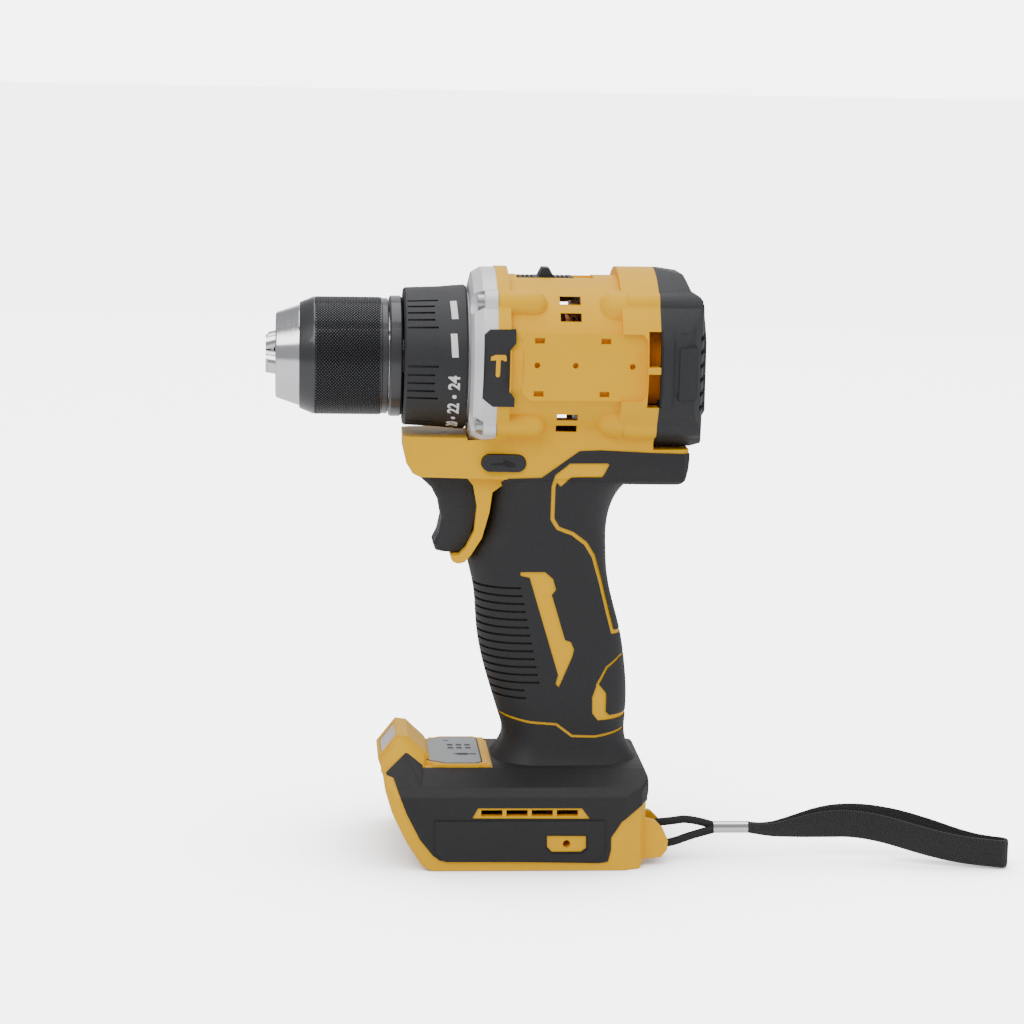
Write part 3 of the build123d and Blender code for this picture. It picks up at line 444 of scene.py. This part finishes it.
# clutch collar marks: raised print wrapped on the collar
marks = {"x": -12.3, "radius": 26.1, "size": 5.6, "bold": 0.16, "space": 0.95, "weld": 0.001,
         "first": 24, "last": 4, "down": 2, "start": 105.0, "step": 24.5, "dot": 0.8, "dotSides": 16,
         "bars": (43.4, 75.0), "bar": (8.6, 2.3, 0.5), "thick": 0.08, "sunk": 0.15, "slice": 0.5}
collarCone = {"x0": -17.6, "r0": 25.6, "x1": -8.3, "r1": 26.4}


def addTo(bm, part):
    held = bpy.data.meshes.new("held")
    part.to_mesh(held)
    part.free()
    bm.from_mesh(held)
    bpy.data.meshes.remove(held)


def collarRadius(x):
    part = (x - collarCone["x0"]) / (collarCone["x1"] - collarCone["x0"])
    return collarCone["r0"] + part * (collarCone["r1"] - collarCone["r0"])


# lays a flat shape in millimetres on the collar: its width goes round, its height towards the chuck
def wrapOnCollar(bm, flat, x, angle):
    reach = max(abs(v.co.x) for v in flat.verts)
    cut = -reach + marks["slice"]
    while cut < reach:
        geometry = flat.verts[:] + flat.edges[:] + flat.faces[:]
        bmesh.ops.bisect_plane(flat, geom=geometry, plane_co=(cut, 0, 0), plane_no=(1, 0, 0))
        cut += marks["slice"]
    skin = bmesh.ops.extrude_face_region(flat, geom=flat.faces[:])["geom"]
    raised = {v for v in skin if isinstance(v, bmesh.types.BMVert)}
    for vert in flat.verts:
        px = x - vert.co.y
        depth = marks["thick"] if vert in raised else -marks["sunk"]
        vert.co = atAngle(px, collarRadius(px) + depth, angle - vert.co.x / marks["radius"])
    addTo(bm, flat)


def flatText(text):
    data = bpy.data.curves.new("digits", "FONT")
    data.body = text
    data.size = marks["size"]
    data.space_character = marks["space"]
    data.align_x = "CENTER"
    data.align_y = "CENTER"
    data.offset = marks["bold"]
    data.resolution_u = 3
    holder = bpy.data.objects.new("digits", data)
    bpy.context.collection.objects.link(holder)
    made = bpy.data.meshes.new_from_object(holder)
    flat = bmesh.new()
    flat.from_mesh(made)
    bmesh.ops.remove_doubles(flat, verts=flat.verts, dist=marks["weld"])
    bpy.data.objects.remove(holder)
    bpy.data.meshes.remove(made)
    return flat


def flatShape(points):
    flat = bmesh.new()
    flat.faces.new([flat.verts.new((*p, 0)) for p in points])
    return flat


bm = bmesh.new()
dotTurns = [math.tau * k / marks["dotSides"] for k in range(marks["dotSides"])]
dot = [(marks["dot"] * math.cos(turn), marks["dot"] * math.sin(turn)) for turn in dotTurns]
number = marks["first"]
angle = marks["start"]
while number >= marks["last"]:
    wrapOnCollar(bm, flatText(str(number)), marks["x"], math.radians(angle))
    if number > marks["last"]:
        wrapOnCollar(bm, flatShape(dot), marks["x"], math.radians(angle + marks["step"] / 2))
    angle += marks["step"]
    number -= marks["down"]
long, wide, lean = marks["bar"]
bar = [(-long / 2, -wide / 2), (long / 2, -wide / 2 + lean), (long / 2, wide / 2 + lean), (-long / 2, wide / 2)]
for angle in marks["bars"]:
    wrapOnCollar(bm, flatShape(bar), marks["x"], math.radians(angle))
meshPiece("collar_marks", bm, looks["print"], "collar", smooth=0)
print("collar marked")


# flat outline pulled between two depths: plane "y" takes X, Z points, plane "z" takes X, Y points
def slab(bm, outline, plane, low, high, hole=None):
    def at(p, depth):
        return Vector((p[0], depth, p[1]) if plane == "y" else (p[0], p[1], depth)) * mm

    part = bmesh.new()
    edges = []
    for loop in (outline, hole or []):
        ring = [part.verts.new(at(p, low)) for p in loop]
        edges += [part.edges.new((ring[k], ring[(k + 1) % len(ring)])) for k in range(len(ring))]
    bmesh.ops.triangle_fill(part, use_beauty=True, edges=edges)
    skin = bmesh.ops.extrude_face_region(part, geom=part.faces[:])["geom"]
    step = at((0, 0), high) - at((0, 0), low)
    bmesh.ops.translate(part, vec=step, verts=[v for v in skin if isinstance(v, bmesh.types.BMVert)])
    addTo(bm, part)


# the same slab on the near and on the far side
def sideSlabs(bm, outline, low, high, hole=None):
    for near, far in ((-high, -low), (low, high)):
        slab(bm, outline, "y", near, far, hole=hole)


flatAngle, sharpAngle = 0.02, 0.5    # radians: faces that are one flat face, edges that are rounded


def hull(bm, points):
    part = bmesh.new()
    for p in points:
        part.verts.new(Vector(p) * mm)
    bmesh.ops.convex_hull(part, input=part.verts)
    loose = [v for v in part.verts if not v.link_faces]
    bmesh.ops.delete(part, geom=loose, context="VERTS")
    bmesh.ops.dissolve_limit(part, angle_limit=flatAngle, verts=part.verts, edges=part.edges)
    addTo(bm, part)


def soften(bm, width):
    sharp = [e for e in bm.edges if len(e.link_faces) == 2 and e.calc_face_angle(0) > sharpAngle]
    bmesh.ops.bevel(bm, geom=sharp, offset=width * mm, segments=2, affect="EDGES", clamp_overlap=True)


def bothSides(points):
    return [points, [(x, -y, z) for x, y, z in points]]


# hammer sign on each side plate
hammer = {"low": 31.0, "high": 31.45, "outline": [
    (0.0, 187.5), (0.6, 187.7), (1.6, 188.2), (5.2, 188.2), (5.6, 187.4), (5.6, 186.0), (4.6, 186.0),
    (4.3, 186.4), (3.5, 186.4), (3.3, 180.8), (2.9, 180.3), (2.2, 180.3), (1.8, 180.8), (1.9, 186.3),
    (0.4, 186.2), (0.0, 186.1),
]}
bm = bmesh.new()
sideSlabs(bm, hammer["outline"], hammer["low"], hammer["high"])
meshPiece("hammer_sign", bm, looks["shell"], "housing", smooth=0)

# bit-and-chuck sign on both ends of the direction button
bitSign = {"low": 19.6, "high": 19.85, "outline": [
    (1.4, 146.9), (6.8, 146.9), (6.8, 146.3), (10.2, 146.3), (10.2, 147.4), (7.6, 148.5), (6.7, 148.7),
    (5.7, 147.6), (1.4, 147.4),
]}
bm = bmesh.new()
sideSlabs(bm, bitSign["outline"], bitSign["low"], bitSign["high"])
meshPiece("direction_sign", bm, looks["webbing"], "direction_button", smooth=0)

# curved inner wall seen through the rear vents, in a darker, more orange copy of the shell colour that is painted
# shade
baffle = {"x0": 56.4, "x1": 61.8, "r0": 25.2, "r1": 25.8, "angles": (57, 123), "steps": 24}
baffleCorners = [(baffle[x], baffle[r]) for x, r in (("x0", "r0"), ("x1", "r0"), ("x1", "r1"), ("x0", "r1"))]
bm = bmesh.new()
for sign in (1, -1):
    first, last = baffle["angles"]
    rings = []
    for k in range(baffle["steps"] + 1):
        angle = sign * math.radians(first + (last - first) * k / baffle["steps"])
        rings.append([bm.verts.new(atAngle(x, r, angle)) for x, r in baffleCorners])
    for a, b in zip(rings, rings[1:]):
        for j in range(4):
            bm.faces.new((a[j], a[(j + 1) % 4], b[(j + 1) % 4], b[j]))
    bm.faces.new(rings[0])
    bm.faces.new(rings[-1])
meshPiece("vent_baffle", bm, looks["shell_painted_shade"], "housing", smooth=30)

# indicator panel: grey plate with cut corners in a dark rim, in a yellow frame, with printed marks
panel = {"low": 34.9, "top": 35.85, "rim": 0.55, "rimDrop": 0.1, "frame": 1.9, "frameLow": 33.6, "frameDrop": 0.15,
         "soft": 0.12, "frameSoft": 0.2, "print": (0.2, 0.03)}
plate = [(-19.9, -14.6), (-13.0, -19.2), (-1.8, -19.2), (0.5, -17.0), (0.5, 17.0), (-1.8, 19.2),
         (-13.0, 19.2), (-19.9, 14.6)]
dots = {"x": -11.4, "y": 1.6, "stepX": 3.3, "stepY": 4.4, "long": 2.1, "wide": 2.4, "columns": 3, "rows": 2}
panelSigns = [
    [(-12.6, 13.4), (-10.4, 13.4), (-10.4, 14.3), (-12.6, 14.3)],
    [(-10.0, -6.2), (-7.6, -4.6), (-4.4, -4.6), (-4.4, -5.4), (-1.2, -5.4), (-1.2, -7.0), (-4.4, -7.0),
     (-4.4, -7.8), (-7.6, -7.8)],
]


# outline set outwards, for corners that run the same way round as the plate's
def grown(outline, amount):
    out = []
    for k in range(len(outline)):
        a, b, c = (Vector(outline[(k + j) % len(outline)]) for j in (-1, 0, 1))
        n1 = Vector((b.y - a.y, a.x - b.x)).normalized()
        n2 = Vector((c.y - b.y, b.x - c.x)).normalized()
        both = (n1 + n2).normalized()
        out.append(tuple(b + both * amount / both.dot(n1)))
    return out


inner, outer = grown(plate, -panel["rim"]), grown(plate, panel["frame"])
bm = bmesh.new()
slab(bm, inner, "z", panel["low"], panel["top"])
soften(bm, panel["soft"])
meshPiece("panel_plate", bm, looks["grey_plastic"], "housing", smooth=30)
bm = bmesh.new()
slab(bm, outer, "z", panel["frameLow"], panel["top"] - panel["frameDrop"], hole=plate)
soften(bm, panel["frameSoft"])
meshPiece("panel_frame", bm, looks["shell"], "housing", smooth=30)
bm = bmesh.new()
slab(bm, plate, "z", panel["low"], panel["top"] - panel["rimDrop"], hole=inner)
signs = []
for column in range(dots["columns"]):
    for row in range(dots["rows"]):
        x, y = dots["x"] + dots["stepX"] * column, dots["y"] + dots["stepY"] * row
        x1, y1 = x + dots["long"], y + dots["wide"]
        signs.append([(x, y), (x1, y), (x1, y1), (x, y1)])
below, above = panel["print"]
for sign in signs + panelSigns:
    slab(bm, sign, "z", panel["top"] - below, panel["top"] + above)
meshPiece("panel_marks", bm, looks["dark_plastic"], "housing", smooth=0)

# pieces made of hulls, the same on both sides
def hullPiece(name, groups, softness, slotName):
    bm = bmesh.new()
    for group in groups:
        for points in bothSides(group):
            hull(bm, points)
    soften(bm, softness)
    meshPiece(name, bm, looks[slotName], "housing", smooth=40)


# lamp pod: yellow cheeks that slope to the foot, and the dark wedge beside them
hullPiece("pod_cheeks", [[
    (-37.5, -13.0, 36.0), (-31.1, -13.0, 44.7), (-27.2, -13.0, 44.3), (-20.2, -13.0, 38.0), (-19.6, -13.0, 34.6),
    (-37.4, -22.5, 33.6), (-30.6, -17.4, 40.6), (-27.4, -16.6, 40.6), (-21.2, -20.6, 35.3), (-35.0, -24.5, 30.5),
    (-22.0, -22.0, 32.5),
]], 0.5, "shell")
hullPiece("pod_wedges", [[
    (-27.8, -17.6, 40.0), (-35.8, -24.4, 33.7), (-32.4, -31.6, 27.6), (-21.4, -21.2, 35.6), (-22.6, -34.6, 30.6),
    (-28.0, -20.0, 33.0), (-31.0, -28.0, 26.0), (-24.0, -30.0, 27.0),
]], 0.4, "soft")

# raised plate low on each side of the foot, open round the badge
foot = {"half": 37.0, "proud": 0.55, "sunk": 0.3, "soft": 0.35}
lowPlate = [(-18.0, 19.1), (-17.8, 7.0), (-14.2, 3.5), (40.7, 3.3), (44.7, 6.4), (44.5, 19.1)]
badge = [(22.8, 13.5), (37.7, 13.5), (37.8, 8.4), (35.9, 6.8), (25.0, 6.8), (22.9, 8.8)]
bm = bmesh.new()
sideSlabs(bm, lowPlate, foot["half"] - foot["sunk"], foot["half"] + foot["proud"], hole=badge)
soften(bm, foot["soft"])
meshPiece("foot_plates", bm, looks["soft"], "housing", smooth=40)

# raised pads on the sides of the back cover: the main one, its step above, and the strip before it
padPlan = ((66.9, -26.0), (66.9, -33.3), (70.6, -33.0), (74.4, -30.4), (74.4, -24.0))
stepPlan = ((67.6, -26.0), (67.6, -31.6), (70.6, -31.4), (73.6, -28.6), (73.6, -24.0))
stripFront = ((-29.0, 169.5), (-31.6, 169.5), (-34.2, 176.0), (-34.2, 192.0), (-31.6, 197.3), (-29.0, 197.3))
hullPiece("cover_pads", [
    [(x, y, z) for x, y in padPlan for z in (172.4, 191.9)],
    [(x, y, z) for x, y in stepPlan for z in (191.0, 197.2)],
    [(x, y, z) for x in (60.9, 65.3) for y, z in stripFront],
], 0.5, "dark_plastic")
print("signs drawn")
